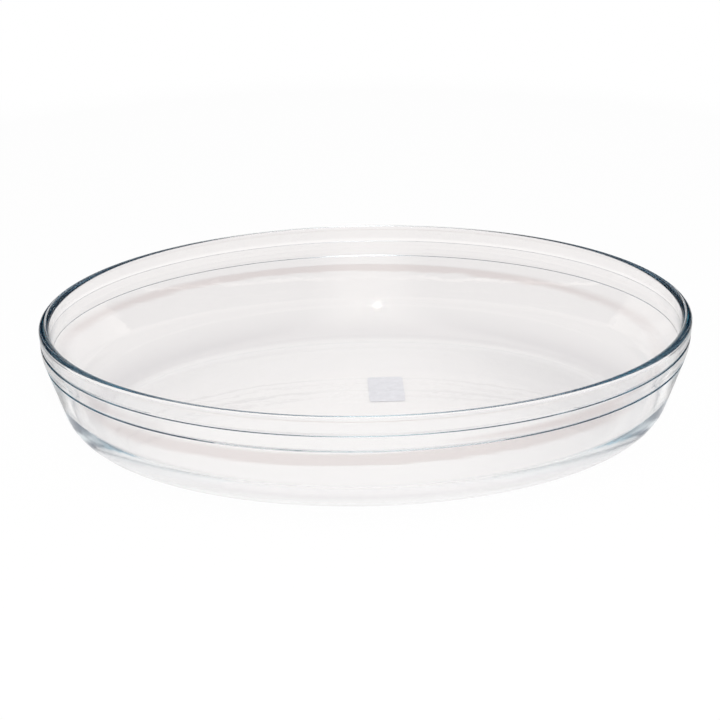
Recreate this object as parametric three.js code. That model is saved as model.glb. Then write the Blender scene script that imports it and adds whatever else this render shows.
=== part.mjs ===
// Oval baking dish pressed from clear glass in one piece, with a blank paper label under its base.
// Millimetres, Z up. The dish stands on z = 0, its long axis is X and its centre is on the Z axis.
import * as THREE from 'three';
import { mergeVertices } from 'three/addons/utils/BufferGeometryUtils.js';

// Overall size over the rim.
const dishLength = 350;
const dishWidth = 240;
const dishHeight = 65;

// Glass thickness across the rim, through the leaning wall and through the floor.
const rimThickness = 5.2;
const wallThickness = 4.9;
const floorThickness = 4.8;

// The steep collar under the rim bends in to the leaning wall, which ends in a round heel.
// Depths are measured down from the top of the rim.
const collarDepth = 14.5;
const collarLeanDegrees = 1.5;
const collarBendRadius = 20;
const wallLeanDegrees = 16;
const heelRadius = 24;
const insideCornerRadius = 28;

// Two fine lines moulded in the outside, each a small ledge with a taper above it.
const upperLineDepth = 9;
const lowerLineDepth = 19;
const lineCut = 0.7;
const lineLedge = 0.5;
const lineTaper = 1.4;

// Underside: the ring that the dish stands on and the panel raised inside it.
const bearingRingWidth = 9;
const panelRise = 0.5;
const panelSlopeRun = 8;

// Blank label on the raised panel, set off centre.
const labelWidth = 20;
const labelLength = 29;
const labelThickness = 0.15;
const labelCornerRadius = 1.5;
const labelOffsetX = 12;
const labelOffsetY = 26;

// Fineness of the curved faces.
const sidesRound = 96;
const bendDivisions = 4;

const wallLean = THREE.MathUtils.degToRad(wallLeanDegrees);
const collarLean = THREE.MathUtils.degToRad(collarLeanDegrees);
const rimRadius = rimThickness / 2;
const floorTop = panelRise + floorThickness;

// The profile is drawn in a plane where x is the reach past the rim's outer edge, so it is
// negative towards the middle of the dish, and y is the height.
const rimCentre = new THREE.Vector2(-rimRadius, dishHeight - rimRadius);
const wallTop = dishHeight - collarDepth;
const collarReach = (z) => (z - rimCentre.y) * Math.tan(collarLean);
const outerReach = (z) => collarReach(wallTop) - (wallTop - z) * Math.tan(wallLean);
const innerReach = (z) => outerReach(z) - wallThickness / Math.cos(wallLean);
const outerFace = (z) => Math.min(collarReach(z), outerReach(z));

// Centre of a bend that touches both the leaning wall and a level face below it.
function bendCentre(reachAt, level, radius) {
  const touchHeight = level + radius * (1 - Math.sin(wallLean));
  const reach = reachAt(touchHeight) - radius * Math.cos(wallLean);
  return new THREE.Vector2(reach, level + radius);
}

// The corner where the line of the collar's inside, which starts at the rim, meets the leaning wall.
function insideCollarCorner(collarTop) {
  const gap = collarTop.x - innerReach(collarTop.y);
  const drop = gap / (Math.tan(collarLean) - Math.tan(wallLean));
  const height = collarTop.y - drop;
  return new THREE.Vector2(innerReach(height), height);
}

// Draws the profile round a corner between collar and wall, on its way to the next point.
function addCollarBend(profile, corner, next) {
  const bendLength = collarBendRadius * Math.tan((wallLean - collarLean) / 2);
  const start = profile.currentPoint.clone().sub(corner).setLength(bendLength).add(corner);
  const end = next.clone().sub(corner).setLength(bendLength).add(corner);
  profile.lineTo(start.x, start.y);
  profile.quadraticCurveTo(corner.x, corner.y, end.x, end.y);
}

// The three corners of a moulded line, upwards: the ledge's edge, the deepest point, the taper's end.
function mouldedLine(depth) {
  const height = dishHeight - depth;
  const ledge = height - lineLedge;
  const taper = height + lineTaper;
  return [
    new THREE.Vector2(outerFace(ledge), ledge),
    new THREE.Vector2(outerFace(height) - lineCut, height),
    new THREE.Vector2(outerFace(taper), taper),
  ];
}

// Section of the glass, from the raised panel round the rim to the edge of the inside floor.
function glassProfile() {
  const heel = bendCentre(outerReach, 0, heelRadius);
  const insideCorner = bendCentre(innerReach, floorTop, insideCornerRadius);
  const ringInner = heel.x - bearingRingWidth;
  const lowerLine = mouldedLine(lowerLineDepth);
  const upperLine = mouldedLine(upperLineDepth);
  const collarFoot = new THREE.Vector2(collarReach(wallTop), wallTop);
  const collarTop = new THREE.Vector2(-Math.cos(collarLean), Math.sin(collarLean));
  collarTop.multiplyScalar(rimRadius).add(rimCentre);
  const wallFoot = new THREE.Vector2(Math.cos(wallLean), -Math.sin(wallLean));
  wallFoot.multiplyScalar(insideCornerRadius).add(insideCorner);

  const profile = new THREE.Path();
  profile.moveTo(ringInner - panelSlopeRun, panelRise);
  profile.lineTo(ringInner, 0);
  profile.lineTo(heel.x, 0);
  profile.absarc(heel.x, heel.y, heelRadius, -Math.PI / 2, -wallLean, false);
  lowerLine.forEach((point) => profile.lineTo(point.x, point.y));
  addCollarBend(profile, collarFoot, upperLine[0]);
  upperLine.forEach((point) => profile.lineTo(point.x, point.y));
  profile.absarc(rimCentre.x, rimCentre.y, rimRadius, -collarLean, Math.PI - collarLean, false);
  addCollarBend(profile, insideCollarCorner(collarTop), wallFoot);
  profile.lineTo(wallFoot.x, wallFoot.y);
  profile.absarc(insideCorner.x, insideCorner.y, insideCornerRadius, -wallLean, -Math.PI / 2, true);
  return profile.getPoints(bendDivisions);
}

// Sweeps a profile round the oval and closes it with a point in the middle at each end.
function sweepRoundOval(profile) {
  const first = profile[0];
  const last = profile[profile.length - 1];
  const positions = [0, 0, first.y];
  for (const point of profile) {
    for (let side = 0; side < sidesRound; side += 1) {
      const angle = (2 * Math.PI * side) / sidesRound;
      const x = (dishLength / 2 + point.x) * Math.cos(angle);
      const y = (dishWidth / 2 + point.x) * Math.sin(angle);
      positions.push(x, y, point.y);
    }
  }
  positions.push(0, 0, last.y);

  const ringStart = (ring) => 1 + ring * sidesRound;
  const endPoint = ringStart(profile.length);
  const index = [];
  for (let side = 0; side < sidesRound; side += 1) {
    const next = (side + 1) % sidesRound;
    index.push(0, ringStart(0) + next, ringStart(0) + side);
    for (let ring = 0; ring + 1 < profile.length; ring += 1) {
      const a = ringStart(ring) + side;
      const b = ringStart(ring) + next;
      const c = ringStart(ring + 1) + next;
      const d = ringStart(ring + 1) + side;
      index.push(a, b, c, a, c, d);
    }
    const lastRing = ringStart(profile.length - 1);
    index.push(lastRing + side, lastRing + next, endPoint);
  }

  const geometry = new THREE.BufferGeometry();
  geometry.setAttribute('position', new THREE.Float32BufferAttribute(positions, 3));
  geometry.setIndex(index);
  return geometry;
}

// The label: a sheet with rounded corners, its upper face on the raised panel.
function labelSheet() {
  const x = labelWidth / 2 - labelCornerRadius;
  const y = labelLength / 2 - labelCornerRadius;
  const quarter = Math.PI / 2;
  const outline = new THREE.Shape();
  outline.absarc(x, y, labelCornerRadius, 0, quarter, false);
  outline.absarc(-x, y, labelCornerRadius, quarter, 2 * quarter, false);
  outline.absarc(-x, -y, labelCornerRadius, 2 * quarter, 3 * quarter, false);
  outline.absarc(x, -y, labelCornerRadius, 3 * quarter, 4 * quarter, false);
  const options = { depth: labelThickness, bevelEnabled: false, curveSegments: bendDivisions };
  const sheet = new THREE.ExtrudeGeometry(outline, options);
  sheet.deleteAttribute('normal');
  sheet.deleteAttribute('uv');
  sheet.translate(labelOffsetX, labelOffsetY, panelRise - labelThickness);
  return mergeVertices(sheet);
}

function addPart(group, name, geometry, material) {
  geometry.computeVertexNormals();
  const mesh = new THREE.Mesh(geometry, material);
  mesh.name = name;
  group.add(mesh);
}

const clearGlass = new THREE.MeshStandardMaterial({ color: 0xdcebea, roughness: 0.05, metalness: 0 });
const plainPaper = new THREE.MeshStandardMaterial({ color: 0xdedce2, roughness: 0.7, metalness: 0 });

const dish = new THREE.Group();
dish.name = 'oval_baking_dish';
addPart(dish, 'glass_dish', sweepRoundOval(glassProfile()), clearGlass);
addPart(dish, 'base_label', labelSheet(), plainPaper);

export default dish;
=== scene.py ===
"""Oval baking dish of clear pressed glass, with a blank label, on a white studio floor."""

import logging
import math
from dataclasses import dataclass
from enum import Enum
from typing import Callable, List, Sequence, Tuple

import bmesh
import bpy
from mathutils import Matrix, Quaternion, Vector


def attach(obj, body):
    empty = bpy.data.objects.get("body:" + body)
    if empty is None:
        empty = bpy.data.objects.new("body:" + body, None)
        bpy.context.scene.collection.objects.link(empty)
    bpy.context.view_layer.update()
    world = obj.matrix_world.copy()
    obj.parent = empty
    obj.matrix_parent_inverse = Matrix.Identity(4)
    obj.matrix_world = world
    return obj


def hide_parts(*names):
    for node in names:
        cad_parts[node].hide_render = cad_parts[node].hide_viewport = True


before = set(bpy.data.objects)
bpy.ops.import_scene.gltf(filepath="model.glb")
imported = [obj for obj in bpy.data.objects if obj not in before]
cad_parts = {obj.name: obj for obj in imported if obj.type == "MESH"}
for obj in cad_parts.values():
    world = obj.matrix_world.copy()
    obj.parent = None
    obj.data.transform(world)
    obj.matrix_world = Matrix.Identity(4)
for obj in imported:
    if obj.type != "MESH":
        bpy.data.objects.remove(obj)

LOG = logging.getLogger("oval_dish")
MM = 0.001

# Points nearer than this, in metres, become one.
MERGE_GAP = 1e-7

# Light turns many times inside the rim and the moulded lines before it leaves the glass.
GLASS_BOUNCES = 48

Pair = Tuple[float, float]
Colour = Tuple[float, float, float]


class Side(Enum):
    """The two faces of the glass, as the section passes them."""

    OUTSIDE = "outside"
    INSIDE = "inside"


class LampPlace(Enum):
    """Where a studio lamp hangs round the dish."""

    OVERHEAD = "overhead"
    FRONT = "front"


@dataclass(frozen=True)
class Knot:
    """A corner of the glass section.

    Attributes:
        reach: Distance past the rim's outer edge in mm, negative towards the middle.
        height: Height above the table in mm.
        radius: Radius of the bend at this corner in mm.
    """

    reach: float
    height: float
    radius: float = 0.0

    def point(self) -> Vector:
        """Gives the corner as a flat vector."""
        return Vector((self.reach, self.height))


class NodeDesk:
    """Places and joins shader nodes in one node tree."""

    column_step: int = 180

    def __init__(self, tree: bpy.types.NodeTree) -> None:
        """Takes the tree to work in.

        Args:
            tree: A material's, world's or group's node tree.
        """
        self.tree = tree
        self.column = 0

    def add(self, kind: str, **settings: object) -> bpy.types.Node:
        """Adds a node and sets its properties and input values.

        Args:
            kind: Blender's name for the node type.
            **settings: Node properties, or input values where a key names an input.

        Returns:
            The new node.
        """
        node = self.tree.nodes.new(kind)
        node.location = (self.column, 0)
        self.column += self.column_step
        for key, value in settings.items():
            if hasattr(node, key):
                setattr(node, key, value)
            else:
                node.inputs[key.replace("_", " ")].default_value = value
        return node

    def join(self, out: bpy.types.NodeSocket, into: bpy.types.NodeSocket) -> None:
        """Joins an output socket to an input socket."""
        self.tree.links.new(out, into)

    def math(self, operation: str, first: object, second: object = None,
             third: object = None) -> bpy.types.NodeSocket:
        """Adds a math node on values or sockets.

        Args:
            operation: Blender's name for the operation.
            first: A number or an output socket.
            second: A number or an output socket, where the operation takes two.
            third: A number or an output socket, where the operation takes three.

        Returns:
            The node's output socket.
        """
        node = self.add("ShaderNodeMath", operation=operation)
        for place, value in enumerate((first, second, third)):
            if value is None:
                continue
            if isinstance(value, bpy.types.NodeSocket):
                self.join(value, node.inputs[place])
            else:
                node.inputs[place].default_value = value
        return node.outputs[0]

    def band(self, value: bpy.types.NodeSocket, low: float, high: float,
             out_low: float = 0.0, out_high: float = 1.0) -> bpy.types.NodeSocket:
        """Maps a value smoothly from one range to another.

        Args:
            value: The socket to map.
            low: Value that gives out_low.
            high: Value that gives out_high.
            out_low: Result at and below low.
            out_high: Result at and above high.

        Returns:
            The mapped value's socket.
        """
        node = self.add("ShaderNodeMapRange", interpolation_type="SMOOTHSTEP")
        self.join(value, node.inputs["Value"])
        node.inputs["From Min"].default_value = low
        node.inputs["From Max"].default_value = high
        node.inputs["To Min"].default_value = out_low
        node.inputs["To Max"].default_value = out_high
        return node.outputs["Result"]

    def axes(self, coordinates: str = "Object") -> bpy.types.Node:
        """Splits a place into its three axes.

        Args:
            coordinates: Blender's name for the coordinates.

        Returns:
            The node with the outputs X, Y and Z.
        """
        place = self.add("ShaderNodeTexCoord")
        axes = self.add("ShaderNodeSeparateXYZ")
        self.join(place.outputs[coordinates], axes.inputs["Vector"])
        return axes

    def blend(self, factor: bpy.types.NodeSocket, first: object, second: object) -> bpy.types.NodeSocket:
        """Blends two colours.

        Args:
            factor: Share of the second colour.
            first: A colour or a colour socket.
            second: A colour or a colour socket.

        Returns:
            The blended colour's socket.
        """
        node = self.add("ShaderNodeMix", data_type="RGBA")
        self.join(factor, node.inputs["Factor"])
        for value, into in ((first, node.inputs["A"]), (second, node.inputs["B"])):
            if isinstance(value, bpy.types.NodeSocket):
                self.join(value, into)
            else:
                into.default_value = (*value, 1.0)
        return node.outputs["Result"]


class SharedEffects:
    """Shader node groups that several finishes use."""

    def __init__(self) -> None:
        """Builds each group once."""
        self.mottle = self._mottle()

    @staticmethod
    def _mottle() -> bpy.types.NodeTree:
        """Builds a soft uneven cover between two values.

        Returns:
            The node group.
        """
        tree = bpy.data.node_groups.new("soft_mottle", "ShaderNodeTree")
        face = tree.interface
        for name, default in (("Scale", 40.0), ("Low", 0.0), ("High", 1.0), ("Contrast", 0.2)):
            socket = face.new_socket(name=name, in_out="INPUT", socket_type="NodeSocketFloat")
            socket.default_value = default
        face.new_socket(name="Value", in_out="OUTPUT", socket_type="NodeSocketFloat")
        desk = NodeDesk(tree)
        ins = desk.add("NodeGroupInput")
        place = desk.add("ShaderNodeTexCoord")
        noise = desk.add("ShaderNodeTexNoise", Detail=3.0, Roughness=0.55)
        desk.join(place.outputs["Object"], noise.inputs["Vector"])
        desk.join(ins.outputs["Scale"], noise.inputs["Scale"])
        spread = desk.add("ShaderNodeMapRange", interpolation_type="SMOOTHSTEP")
        desk.join(noise.outputs["Fac"], spread.inputs["Value"])
        desk.join(desk.math("SUBTRACT", 0.5, ins.outputs["Contrast"]), spread.inputs["From Min"])
        desk.join(desk.math("ADD", 0.5, ins.outputs["Contrast"]), spread.inputs["From Max"])
        desk.join(ins.outputs["Low"], spread.inputs["To Min"])
        desk.join(ins.outputs["High"], spread.inputs["To Max"])
        outs = desk.add("NodeGroupOutput")
        desk.join(spread.outputs["Result"], outs.inputs["Value"])
        return tree


def place_group(desk: NodeDesk, group: bpy.types.NodeTree, **values: float) -> bpy.types.Node:
    """Places a node group in a tree with its own values.

    Args:
        desk: The desk of the tree to place it in.
        group: The group.
        **values: Input values by name.

    Returns:
        The group's node.
    """
    node = desk.add("ShaderNodeGroup", node_tree=group)
    for key, value in values.items():
        node.inputs[key].default_value = value
    return node


def new_material(name: str) -> Tuple[bpy.types.Material, NodeDesk]:
    """Makes an empty node material.

    Args:
        name: The material's name.

    Returns:
        The material and a desk on its tree.
    """
    material = bpy.data.materials.new(name)
    material.use_nodes = True
    material.node_tree.nodes.clear()
    return material, NodeDesk(material.node_tree)


@dataclass(frozen=True)
class GlassFinish:
    """Clear pressed glass: fire-polished, a little wavy, faintly tinted along its thickness.

    A zone is the start and end of a soft edge, as heights in metres. A middle is the half length and
    half width of an upright oval, and only what lies outside it belongs to the zone. The shadow
    colours tint the light that passes straight through to the floor.
    """

    effects: SharedEffects
    colour: Colour = (0.995, 0.997, 0.997)
    index: float = 1.5
    depth_colour: Colour = (0.62, 0.86, 0.95)
    depth_density: float = 3.0
    wall_shadow: Colour = (0.990, 0.988, 0.987)
    rim_shadow: Colour = (0.46, 0.28, 0.25)
    rim_zone: Pair = (0.0565, 0.0570)
    rim_middle: Pair = (0.1724, 0.1174)
    rim_wave_scale: float = 110.0
    rim_wave_height: float = 0.0014
    rim_wave_contrast: float = 0.25
    heel_shadow: Colour = (0.92, 0.915, 0.92)
    heel_zone: Pair = (0.010, 0.016)
    heel_middle: Pair = (0.1475, 0.0925)
    ring_zone: Pair = (0.0001, 0.0003)
    ring_roughness: float = 0.08
    haze_scale: float = 60.0
    haze_roughness: float = 0.006
    haze_contrast: float = 0.3
    wave_zone: Pair = (0.040, 0.050)
    wave_scale: float = 45.0
    wave_height: float = 0.00004
    wave_contrast: float = 0.4

    def material(self) -> bpy.types.Material:
        """Builds the glass.

        Returns:
            The material.
        """
        material, desk = new_material("clear_glass")
        axes = desk.axes()
        glass = desk.add("ShaderNodeBsdfPrincipled")
        glass.inputs["Base Color"].default_value = (*self.colour, 1.0)
        glass.inputs["Transmission Weight"].default_value = 1.0
        glass.inputs["IOR"].default_value = self.index
        desk.join(self._roughness(desk, axes), glass.inputs["Roughness"])
        desk.join(self._wave(desk, axes), glass.inputs["Normal"])

        clear = desk.add("ShaderNodeBsdfTransparent")
        desk.join(self._shadow(desk, axes), clear.inputs["Color"])
        light = desk.add("ShaderNodeLightPath")
        surface = glass.outputs["BSDF"]
        for ray in ("Is Shadow Ray", "Is Diffuse Ray"):
            mix = desk.add("ShaderNodeMixShader")
            desk.join(light.outputs[ray], mix.inputs["Fac"])
            desk.join(surface, mix.inputs[1])
            desk.join(clear.outputs["BSDF"], mix.inputs[2])
            surface = mix.outputs["Shader"]

        depth = desk.add("ShaderNodeVolumeAbsorption", Density=self.depth_density)
        depth.inputs["Color"].default_value = (*self.depth_colour, 1.0)
        out = desk.add("ShaderNodeOutputMaterial")
        desk.join(surface, out.inputs["Surface"])
        desk.join(depth.outputs["Volume"], out.inputs["Volume"])
        return material

    def _roughness(self, desk: NodeDesk, axes: bpy.types.Node) -> bpy.types.NodeSocket:
        """Grinds the bearing ring matt and leaves faint handling haze elsewhere.

        Args:
            desk: The desk of the glass.
            axes: The node that gives the place along each axis.

        Returns:
            The roughness.
        """
        haze = place_group(desk, self.effects.mottle, Scale=self.haze_scale, Low=0.0,
                           High=self.haze_roughness, Contrast=self.haze_contrast)
        ground = desk.band(axes.outputs["Z"], *self.ring_zone, self.ring_roughness, 0.0)
        return desk.math("MAXIMUM", haze.outputs["Value"], ground)

    def _wave(self, desk: NodeDesk, axes: bpy.types.Node) -> bpy.types.NodeSocket:
        """Makes the pressed faces a little wavy, below the collar.

        Args:
            desk: The desk of the glass.
            axes: The node that gives the place along each axis.

        Returns:
            The surface normal.
        """
        wave = place_group(desk, self.effects.mottle, Scale=self.wave_scale, Low=0.0,
                           High=self.wave_height, Contrast=self.wave_contrast)
        below = desk.band(axes.outputs["Z"], *self.wave_zone, 1.0, 0.0)
        bump = desk.add("ShaderNodeBump", Strength=1.0, Distance=1.0)
        desk.join(desk.math("MULTIPLY", wave.outputs["Value"], below), bump.inputs["Height"])
        return bump.outputs["Normal"]

    def _shadow(self, desk: NodeDesk, axes: bpy.types.Node) -> bpy.types.NodeSocket:
        """Tints the shadow: dark under the rim, with a wavy edge, and weak under the heel.

        Args:
            desk: The desk of the glass.
            axes: The node that gives the place along each axis.

        Returns:
            The shadow's colour.
        """
        wave = place_group(desk, self.effects.mottle, Scale=self.rim_wave_scale, Low=-self.rim_wave_height,
                           High=self.rim_wave_height, Contrast=self.rim_wave_contrast)
        height = desk.math("ADD", axes.outputs["Z"], wave.outputs["Value"])
        rim = desk.math("MULTIPLY", desk.band(height, *self.rim_zone),
                        self._beyond(desk, axes, self.rim_middle))
        heel = desk.math("MULTIPLY", desk.band(axes.outputs["Z"], *self.heel_zone, 1.0, 0.0),
                         self._beyond(desk, axes, self.heel_middle))
        upper = desk.blend(rim, self.wall_shadow, self.rim_shadow)
        return desk.blend(heel, upper, self.heel_shadow)

    @staticmethod
    def _beyond(desk: NodeDesk, axes: bpy.types.Node, oval: Pair) -> bpy.types.NodeSocket:
        """Masks what lies outside an upright oval.

        Args:
            desk: The desk of the glass.
            axes: The node that gives the place along each axis.
            oval: Half length and half width of the oval.

        Returns:
            The mask, 1 outside the oval.
        """
        along = desk.math("POWER", desk.math("DIVIDE", axes.outputs["X"], oval[0]), 2.0)
        across = desk.math("POWER", desk.math("DIVIDE", axes.outputs["Y"], oval[1]), 2.0)
        return desk.math("GREATER_THAN", desk.math("ADD", along, across), 1.0)


@dataclass(frozen=True)
class PaperFinish:
    """Plain uncoated label paper with faint fibres and cloudiness."""

    effects: SharedEffects
    light: Colour = (0.86, 0.85, 0.89)
    dark: Colour = (0.78, 0.77, 0.81)
    roughness: float = 0.75
    fibre_scale: float = 350.0
    fibre_contrast: float = 0.25

    def material(self) -> bpy.types.Material:
        """Builds the paper.

        Returns:
            The material.
        """
        material, desk = new_material("label_paper")
        paper = desk.add("ShaderNodeBsdfPrincipled", Roughness=self.roughness)
        cloud = place_group(desk, self.effects.mottle, Scale=self.fibre_scale, Low=0.0, High=1.0,
                            Contrast=self.fibre_contrast)
        desk.join(desk.blend(cloud.outputs["Value"], self.dark, self.light), paper.inputs["Base Color"])
        out = desk.add("ShaderNodeOutputMaterial")
        desk.join(paper.outputs["BSDF"], out.inputs["Surface"])
        return material


@dataclass(frozen=True)
class FloorFinish:
    """White studio paper under the dish, warmer where it is seen through the glass.

    Light that was mirrored in the glass meets painted shade, near black, under the ends of the dish, and a
    painted blue glint there, so that the rim's ends look dark. Each pair is the start and end of a soft
    edge. A pair named from is a distance from the middle in metres, one named behind is a distance towards
    the back in metres and one named depth counts reflections.
    """

    colour: Colour = (0.97, 0.97, 0.97)
    through_glass: Colour = (0.975, 0.945, 0.935)
    # Painted shade: a near-black floor colour for light that was mirrored in the glass beside the dish's
    # ends.
    shade_colour: Colour = (0.004, 0.010, 0.020)
    shade_from: Pair = (0.115, 0.145)
    shade_depth: Pair = (5.0, 7.0)
    rear_from: Pair = (0.02, 0.05)
    rear_behind: Pair = (0.015, 0.030)
    end_from: Pair = (0.05, 0.09)
    end_behind: Pair = (0.002, 0.014)
    end_depth: Pair = (0.5, 2.0)
    # Painted glint: a blue floor colour for light that was mirrored many times in the glass beside the
    # dish's ends.
    glint_colour: Colour = (0.04, 0.70, 1.0)
    glint_from: Pair = (0.118, 0.128)
    glint_behind: Pair = (0.0, 0.010)
    white_from: Pair = (0.30, 0.62)
    white_share: float = 0.9

    def material(self) -> bpy.types.Material:
        """Builds the paper, which glows white for the camera and far from the dish.

        Returns:
            The material.
        """
        material, desk = new_material("studio_floor")
        light = desk.add("ShaderNodeLightPath")
        seen = self._seen(desk, light)
        paper = desk.add("ShaderNodeBsdfDiffuse")
        desk.join(seen, paper.inputs["Color"])
        glow = desk.add("ShaderNodeEmission", Strength=1.0 / self.colour[0])
        desk.join(seen, glow.inputs["Color"])

        place = desk.add("ShaderNodeTexCoord")
        spread = desk.add("ShaderNodeVectorMath", operation="LENGTH")
        desk.join(place.outputs["Object"], spread.inputs[0])
        far = desk.band(spread.outputs["Value"], *self.white_from)
        near = desk.math("MULTIPLY", light.outputs["Is Camera Ray"], self.white_share)
        mix = desk.add("ShaderNodeMixShader")
        desk.join(desk.math("MAXIMUM", far, near), mix.inputs["Fac"])
        desk.join(paper.outputs["BSDF"], mix.inputs[1])
        desk.join(glow.outputs["Emission"], mix.inputs[2])
        out = desk.add("ShaderNodeOutputMaterial")
        desk.join(mix.outputs["Shader"], out.inputs["Surface"])
        return material

    def _seen(self, desk: NodeDesk, light: bpy.types.Node) -> bpy.types.NodeSocket:
        """Colours the paper for each kind of light that meets it.

        Args:
            desk: The desk of the floor.
            light: The node that tells kinds of light apart.

        Returns:
            The paper's colour.
        """
        axes = desk.axes()
        side = desk.math("ABSOLUTE", axes.outputs["X"])
        back = axes.outputs["Y"]
        turns = light.outputs["Glossy Depth"]

        def zone(sideways: Pair, behind: Pair) -> bpy.types.NodeSocket:
            """Masks the two places that lie this far sideways and behind."""
            return desk.math("MULTIPLY", desk.band(side, *sideways), desk.band(back, *behind))

        once = desk.band(turns, *self.end_depth)
        often = desk.band(turns, *self.shade_depth)
        end = desk.math("MULTIPLY", zone(self.end_from, self.end_behind), once)
        rear = zone(self.rear_from, self.rear_behind)
        outer = desk.math("MAXIMUM", desk.band(side, *self.shade_from), rear)
        shade = desk.math("MULTIPLY", often, outer)
        glint = desk.math("MULTIPLY", often, zone(self.glint_from, self.glint_behind))
        seen = desk.blend(light.outputs["Is Transmission Ray"], self.colour, self.through_glass)
        # Paints shade, and then a blue glint, on the paper where light that was mirrored in the glass
        # meets it.
        seen = desk.blend(end, seen, self.shade_colour)
        seen = desk.blend(shade, seen, self.shade_colour)
        return desk.blend(glint, seen, self.glint_colour)


class Workbench:
    """Hand modelling steps, each on the object in edit mode."""

    @staticmethod
    def clear_selection() -> None:
        """Deselects every object, so that an operator acts on the new piece alone."""
        if bpy.context.object and bpy.context.object.mode != "OBJECT":
            bpy.ops.object.mode_set(mode="OBJECT")
        bpy.ops.object.select_all(action="DESELECT")

    @staticmethod
    def select_points(piece: bpy.types.Object, wanted: Callable[[Vector], bool]) -> int:
        """Selects the points of a mesh by their place.

        Args:
            piece: The object in edit mode.
            wanted: Says for a point's place whether it is wanted.

        Returns:
            How many points are selected.
        """
        bpy.ops.mesh.select_mode(type="VERT")
        bpy.ops.mesh.select_all(action="DESELECT")
        mesh = bmesh.from_edit_mesh(piece.data)
        count = 0
        for vert in mesh.verts:
            vert.select = wanted(vert.co)
            count += vert.select
        mesh.select_flush(True)
        bmesh.update_edit_mesh(piece.data)
        return count

    @staticmethod
    def close_shell(piece: bpy.types.Object) -> None:
        """Merges doubles, turns every face outwards and leaves edit mode.

        Args:
            piece: The object in edit mode.
        """
        bpy.ops.mesh.select_all(action="SELECT")
        bpy.ops.mesh.remove_doubles(threshold=MERGE_GAP)
        bpy.ops.mesh.normals_make_consistent(inside=False)
        bpy.ops.object.mode_set(mode="OBJECT")
        piece.data.update()


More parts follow.
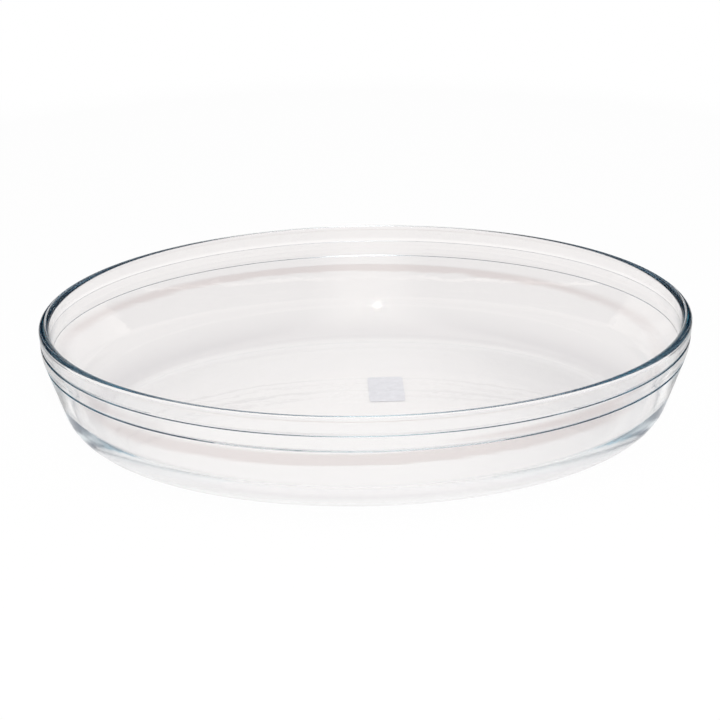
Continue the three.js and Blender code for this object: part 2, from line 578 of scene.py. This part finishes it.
@dataclass
class GlassDish:
    """The pressed glass dish.

    Lengths are in mm. Depths are measured down from the top of the rim.
    """

    finish: GlassFinish
    length: float = 350.0
    width: float = 240.0
    height: float = 65.0
    rim_thickness: float = 5.2
    wall_thickness: float = 4.9
    floor_thickness: float = 4.8
    collar_depth: float = 14.5
    collar_lean: float = math.radians(1.5)
    collar_bend_radius: float = 20.0
    line_depths: Pair = (10.0, 19.0)
    line_cuts: Pair = (1.1, 0.7)
    line_tapers: Pair = (1.8, 1.4)
    line_ledges: Pair = (0.1, 0.5)
    line_bend: float = 0.15
    wall_lean: float = math.radians(16.0)
    heel_radius: float = 24.0
    inside_corner_radius: float = 28.0
    ring_width: float = 9.0
    panel_rise: float = 0.5
    panel_slope_run: float = 30.0
    panel_bend: float = 300.0
    sides: int = 384
    bend_step: float = math.radians(4.5)
    support_gap: float = 0.35
    support_pitch: float = 8.0
    panel_flat: float = 20.0
    floor_flat: float = 60.0

    @property
    def wall_top(self) -> float:
        """Height where the outside of the collar bends in to the leaning wall."""
        return self.height - self.collar_depth

    def collar_at(self, height: float) -> float:
        """Reach of the collar's outside at a height."""
        rim_middle = self.height - self.rim_thickness / 2
        return (height - rim_middle) * math.tan(self.collar_lean)

    def wall_at(self, side: Side, height: float) -> float:
        """Gives the leaning wall's reach at a height.

        Args:
            side: The face of the wall.
            height: Height above the table.

        Returns:
            The reach past the rim's outer edge, negative inwards.
        """
        reach = self.collar_at(self.wall_top) - (self.wall_top - height) * math.tan(self.wall_lean)
        if side is Side.INSIDE:
            reach -= self.wall_thickness / math.cos(self.wall_lean)
        return reach

    def section(self) -> List[Knot]:
        """Lays out the corners of the section, from under the floor round the rim to the inside.

        Returns:
            The corners in order.
        """
        floor_top = self.panel_rise + self.floor_thickness
        heel = self.wall_at(Side.OUTSIDE, 0.0)
        half_turn = (math.pi / 2 - self.wall_lean) / 2
        ring_inner = heel - self.heel_radius * math.tan(half_turn) - self.ring_width
        rim_radius = self.rim_thickness / 2
        rim = self.collar_at(self.height)
        mouth = rim - self.rim_thickness / math.cos(self.collar_lean)
        bend = self._inside_bend(mouth)
        return [
            Knot(ring_inner - self.panel_slope_run, self.panel_rise, self.panel_bend),
            Knot(ring_inner, 0.0, self.panel_bend),
            Knot(heel, 0.0, self.heel_radius),
            *self._moulded_line(1),
            Knot(self.collar_at(self.wall_top), self.wall_top, self.collar_bend_radius),
            *self._moulded_line(0),
            Knot(rim, self.height, rim_radius),
            Knot(mouth, self.height, rim_radius),
            Knot(self.wall_at(Side.INSIDE, bend), bend, self.collar_bend_radius),
            Knot(self.wall_at(Side.INSIDE, floor_top), floor_top, self.inside_corner_radius),
        ]

    def _moulded_line(self, line: int) -> List[Knot]:
        """Lays out one fine line cut in the outside: a small ledge with a taper above it.

        Args:
            line: Which line, counted down from the rim.

        Returns:
            The line's corners, upwards.
        """
        def face(level: float) -> float:
            """Reach of the outside at a height, before the line is cut."""
            return min(self.collar_at(level), self.wall_at(Side.OUTSIDE, level))

        height = self.height - self.line_depths[line]
        low, high = height - self.line_ledges[line], height + self.line_tapers[line]
        return [
            Knot(face(low), low, self.line_bend),
            Knot(face(height) - self.line_cuts[line], height, self.line_bend),
            Knot(face(high), high, self.line_bend),
        ]

    def _inside_bend(self, mouth: float) -> float:
        """Finds the height where the inside of the collar meets the leaning wall.

        Args:
            mouth: The collar line's reach at the top of the rim.

        Returns:
            The height of the corner.
        """
        steep, lean = math.tan(self.collar_lean), math.tan(self.wall_lean)
        return (self.wall_at(Side.INSIDE, 0.0) - mouth + self.height * steep) / (steep - lean)

    def _bend(self, before: Vector, knot: Knot, after: Vector) -> List[Vector]:
        """Rounds one corner of the section.

        Args:
            before: The corner before it.
            knot: The corner.
            after: The corner after it.

        Returns:
            The points of the bend.
        """
        here = knot.point()
        back = (before - here).normalized()
        ahead = (after - here).normalized()
        inner = back.angle(ahead)
        turn = math.pi - inner
        reach = knot.radius / math.tan(inner / 2)
        centre = here + (back + ahead).normalized() * (knot.radius / math.sin(inner / 2))
        start = here + back * reach - centre
        swing = math.copysign(turn, back.cross(ahead) * -1)
        steps = max(2, math.ceil(turn / self.bend_step))
        points = []
        for step in range(steps + 1):
            angle = swing * step / steps
            cos, sin = math.cos(angle), math.sin(angle)
            points.append(centre + Vector((start.x * cos - start.y * sin, start.x * sin + start.y * cos)))
        return points

    def outline(self) -> List[Pair]:
        """Turns the section's corners into points, with bends and support rings.

        Returns:
            Reach and height of each ring.
        """
        knots = self.section()
        first, last = knots[0], knots[-1]
        corners = [Vector((first.reach - self.panel_flat, first.height))]
        corners += [knot.point() for knot in knots]
        corners.append(Vector((last.reach - self.floor_flat, last.height)))
        points: List[Vector] = [corners[0]]
        for place, knot in enumerate(knots, start=1):
            bend = self._bend(corners[place - 1], knot, corners[place + 1])
            points += self._straight(points[-1], bend[0])
            points += bend
        points += self._straight(points[-1], corners[-1])
        points.append(corners[-1])
        return [(point.x, point.y) for point in points]

    def _straight(self, start: Vector, end: Vector) -> List[Vector]:
        """Gives support points on a straight run, which keep its face flat beside a bend.

        Args:
            start: Where the run starts.
            end: Where the run ends.

        Returns:
            The points between the two.
        """
        run = (end - start).length
        if run < 3 * self.support_gap:
            return []
        inner = [self.support_gap]
        pieces = max(1, round((run - 2 * self.support_gap) / self.support_pitch))
        for piece in range(1, pieces):
            inner.append(self.support_gap + (run - 2 * self.support_gap) * piece / pieces)
        inner.append(run - self.support_gap)
        return [start.lerp(end, place / run) for place in inner]

    def build(self) -> bpy.types.Object:
        """Models the glass ring by ring, as one closed shell.

        Returns:
            The dish.
        """
        rings = self.outline()
        Workbench.clear_selection()
        bpy.ops.mesh.primitive_circle_add(vertices=self.sides, radius=1.0, fill_type="TRIFAN")
        dish = bpy.context.object
        dish.name = dish.data.name = "pressed_glass_dish"
        bpy.ops.object.mode_set(mode="EDIT")
        a, b, z = self._axes(rings[0])
        bpy.ops.mesh.select_all(action="SELECT")
        bpy.ops.transform.resize(value=(a, b, 1.0), center_override=(0, 0, 0))
        bpy.ops.transform.translate(value=(0, 0, z))
        Workbench.select_points(dish, lambda place: place.xy.length > b / 2)
        for ring in rings[1:]:
            next_a, next_b, next_z = self._axes(ring)
            bpy.ops.mesh.extrude_region_move(TRANSFORM_OT_translate={"value": (0, 0, next_z - z)})
            bpy.ops.transform.resize(value=(next_a / a, next_b / b, 1.0), center_override=(0, 0, 0))
            a, b, z = next_a, next_b, next_z
        bpy.ops.mesh.extrude_region_move(TRANSFORM_OT_translate={"value": (0, 0, 0)})
        bpy.ops.mesh.merge(type="CENTER")
        Workbench.close_shell(dish)
        bpy.ops.object.shade_smooth()
        return dish

    def _axes(self, ring: Pair) -> Tuple[float, float, float]:
        """Gives a ring's half length, half width and height in metres."""
        return (self.length / 2 + ring[0]) * MM, (self.width / 2 + ring[0]) * MM, ring[1] * MM

    def dress(self, dish: bpy.types.Object) -> None:
        """Gives the dish its glass and ties it to the frame.

        Args:
            dish: The modelled dish.
        """
        dish.data.materials.clear()
        dish.data.materials.append(self.finish.material())
        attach(dish, "root")
        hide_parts("glass_dish")


@dataclass
class BaseLabel:
    """The blank label stuck under the floor. Lengths are in mm."""

    finish: PaperFinish
    width: float = 20.0
    length: float = 29.0
    thickness: float = 0.1
    corner: float = 1.5
    offset: Pair = (12.0, 26.0)
    top: float = 0.47

    def build(self) -> bpy.types.Object:
        """Cuts the label from a sheet and rounds its corners.

        Returns:
            The label.
        """
        Workbench.clear_selection()
        bpy.ops.mesh.primitive_plane_add(size=1.0)
        label = bpy.context.object
        label.name = label.data.name = "blank_base_label"
        bpy.ops.object.mode_set(mode="EDIT")
        bpy.ops.mesh.select_all(action="SELECT")
        bpy.ops.transform.resize(value=(self.width * MM, self.length * MM, 1.0), center_override=(0, 0, 0))
        bpy.ops.mesh.bevel(offset=self.corner * MM, segments=6, affect="VERTICES")
        bpy.ops.mesh.select_all(action="SELECT")
        low = (self.top - self.thickness) * MM
        bpy.ops.transform.translate(value=(self.offset[0] * MM, self.offset[1] * MM, low))
        bpy.ops.mesh.extrude_region_move(TRANSFORM_OT_translate={"value": (0, 0, self.thickness * MM)})
        Workbench.close_shell(label)
        return label

    def dress(self, label: bpy.types.Object) -> None:
        """Gives the label its paper and ties it to the frame.

        Args:
            label: The modelled label.
        """
        label.data.materials.clear()
        label.data.materials.append(self.finish.material())
        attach(label, "root")
        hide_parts("base_label")


@dataclass(frozen=True)
class Lamp:
    """A soft studio lamp aimed at the dish. Lengths are in metres."""

    place: LampPlace
    where: Tuple[float, float, float]
    size: Pair
    power: float
    mirrored: bool = True
    aim_height: float = 0.03

    def hang(self) -> bpy.types.Object:
        """Hangs the lamp.

        Returns:
            The lamp's object.
        """
        data = bpy.data.lights.new(f"lamp_{self.place.value}", "AREA")
        data.shape = "RECTANGLE"
        data.size, data.size_y = self.size
        data.energy = self.power
        lamp = bpy.data.objects.new(data.name, data)
        bpy.context.scene.collection.objects.link(lamp)
        lamp.location = self.where
        aim = Vector((0, 0, self.aim_height)) - lamp.location
        lamp.rotation_euler = aim.to_track_quat("-Z", "Y").to_euler()
        lamp.visible_glossy = lamp.visible_transmission = self.mirrored
        return lamp


@dataclass
class Studio:
    """White floor, soft lamps and the room that the glass mirrors.

    Lengths are in metres. Each pair is the start and end of a soft edge in the room that mirrored
    and bent light sees: a share of the direction sideways, back or up, or a count of reflections.
    """

    floor_size: float = 14.0
    floor_gap: float = 0.00015
    backdrop: Colour = (1.0, 1.0, 1.0)
    room_light: float = 0.77
    room_colour: Colour = (0.8, 0.8, 0.8)
    room_middle: Colour = (0.85, 0.85, 0.85)
    room_ends: Colour = (0.01, 0.04, 0.09)
    room_sides: Pair = (0.12, 0.28)
    room_back: Pair = (0.0, 0.3)
    room_back_top: Pair = (0.38, 0.43)
    room_back_sides: Pair = (0.16, 0.24)
    room_low: Pair = (0.45, 0.75)
    room_deep: Pair = (0.2, 1.0)
    room_deep_sides: Pair = (0.05, 0.26)
    lamps: Sequence[Lamp] = (
        Lamp(LampPlace.OVERHEAD, (0.0, 0.2, 2.6), (2.6, 2.6), 10.0, mirrored=False),
        Lamp(LampPlace.FRONT, (0.025, -1.31, 1.10), (0.18, 0.003), 13.0),
    )

    def build(self, finish: FloorFinish) -> None:
        """Lays the floor, hangs the lamps and sets the room.

        Args:
            finish: The floor's finish.
        """
        Workbench.clear_selection()
        bpy.ops.mesh.primitive_plane_add(size=self.floor_size, location=(0, 0, -self.floor_gap))
        floor = bpy.context.object
        floor.name = floor.data.name = "studio_floor"
        floor.data.materials.append(finish.material())
        for lamp in self.lamps:
            lamp.hang()
        self._room()

    def _room(self) -> None:
        """Sets an even room light, a white backdrop and a dark room for what the glass mirrors."""
        world = bpy.data.worlds.new("studio_room")
        bpy.context.scene.world = world
        world.use_nodes = True
        world.node_tree.nodes.clear()
        desk = NodeDesk(world.node_tree)
        light = desk.add("ShaderNodeLightPath")
        even = desk.add("ShaderNodeBackground", Strength=self.room_light)
        even.inputs["Color"].default_value = (*self.room_colour, 1.0)
        mirrored = desk.add("ShaderNodeBackground", Strength=1.0)
        desk.join(self._mirrored(desk, light), mirrored.inputs["Color"])
        backdrop = desk.add("ShaderNodeBackground", Strength=1.0)
        backdrop.inputs["Color"].default_value = (*self.backdrop, 1.0)
        bent = desk.math("MAXIMUM", light.outputs["Is Glossy Ray"], light.outputs["Is Transmission Ray"])
        room = even.outputs["Background"]
        for ray, seen in ((bent, mirrored), (light.outputs["Is Camera Ray"], backdrop)):
            mix = desk.add("ShaderNodeMixShader")
            desk.join(ray, mix.inputs["Fac"])
            desk.join(room, mix.inputs[1])
            desk.join(seen.outputs["Background"], mix.inputs[2])
            room = mix.outputs["Shader"]
        out = desk.add("ShaderNodeOutputWorld")
        desk.join(room, out.inputs["Surface"])

    def _mirrored(self, desk: NodeDesk, light: bpy.types.Node) -> bpy.types.NodeSocket:
        """Colours the room that the glass mirrors: pale in the middle, dark at the ends and low behind.

        Args:
            desk: The desk of the room.
            light: The node that tells kinds of light apart.

        Returns:
            The room's colour.
        """
        axes = desk.axes("Generated")
        across = desk.math("ABSOLUTE", axes.outputs["X"])
        back = desk.math("MULTIPLY", desk.band(axes.outputs["Y"], *self.room_back),
                         desk.band(axes.outputs["Z"], *self.room_back_top, 1.0, 0.0))
        back = desk.math("MULTIPLY", back, desk.band(across, *self.room_back_sides))
        side = desk.math("MAXIMUM", desk.band(across, *self.room_sides), back)
        low = desk.math("MULTIPLY", side, desk.band(axes.outputs["Z"], *self.room_low, 1.0, 0.0))
        deep = desk.math("MULTIPLY", desk.band(light.outputs["Glossy Depth"], *self.room_deep),
                         desk.band(across, *self.room_deep_sides))
        return desk.blend(desk.math("MAXIMUM", low, deep), self.room_middle, self.room_ends)


@dataclass(frozen=True)
class PhotoCamera:
    """The photograph's viewpoint.

    Angles are in degrees, distances in metres, focus, frame and target in pixels and the sensor in mm.
    """

    azimuth: float = -2.706
    elevation: float = 27.34
    roll: float = -0.35
    distance: float = 1.0
    target_height: float = 0.03
    focus: float = 1830.7
    frame_size: float = 720.0
    target_pixel: Pair = (367.07, 368.82)
    sensor_width: float = 36.0
    clip: Pair = (0.01, 60.0)

    def build(self) -> bpy.types.Object:
        """Sets the camera up.

        Returns:
            The camera.
        """
        data = bpy.data.cameras.new("photo_camera")
        data.sensor_width = self.sensor_width
        data.lens = self.focus / self.frame_size * data.sensor_width
        data.shift_x = -(self.target_pixel[0] / self.frame_size - 0.5)
        data.shift_y = self.target_pixel[1] / self.frame_size - 0.5
        data.clip_start, data.clip_end = self.clip
        camera = bpy.data.objects.new(data.name, data)
        bpy.context.scene.collection.objects.link(camera)
        turn, rise = math.radians(self.azimuth), math.radians(self.elevation)
        back = Vector((math.sin(turn) * math.cos(rise), -math.cos(turn) * math.cos(rise), math.sin(rise)))
        camera.location = Vector((0, 0, self.target_height)) + back * self.distance
        camera.rotation_mode = "QUATERNION"
        tilt = Quaternion((0, 0, 1), math.radians(self.roll))
        camera.rotation_quaternion = (-back).to_track_quat("-Z", "Y") @ tilt
        bpy.context.scene.camera = camera
        return camera


def main() -> None:
    """Builds the dish, its label, the studio and the camera, in that order."""
    logging.basicConfig(level=logging.INFO, format="%(name)s: %(message)s")
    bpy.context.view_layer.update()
    bpy.context.scene.view_settings.view_transform = "Standard"
    light = bpy.context.scene.cycles
    light.max_bounces = light.glossy_bounces = light.transmission_bounces = GLASS_BOUNCES
    effects = SharedEffects()

    maker = GlassDish(GlassFinish(effects))
    dish = maker.build()
    maker.dress(dish)
    LOG.info("%s: %d faces", dish.name, len(dish.data.polygons))

    sticker = BaseLabel(PaperFinish(effects))
    label = sticker.build()
    sticker.dress(label)
    LOG.info("%s: %d faces", label.name, len(label.data.polygons))

    Studio().build(FloorFinish())
    camera = PhotoCamera().build()
    LOG.info("%s at %s", camera.name, tuple(round(v, 3) for v in camera.location))


if __name__ == "__main__":
    main()
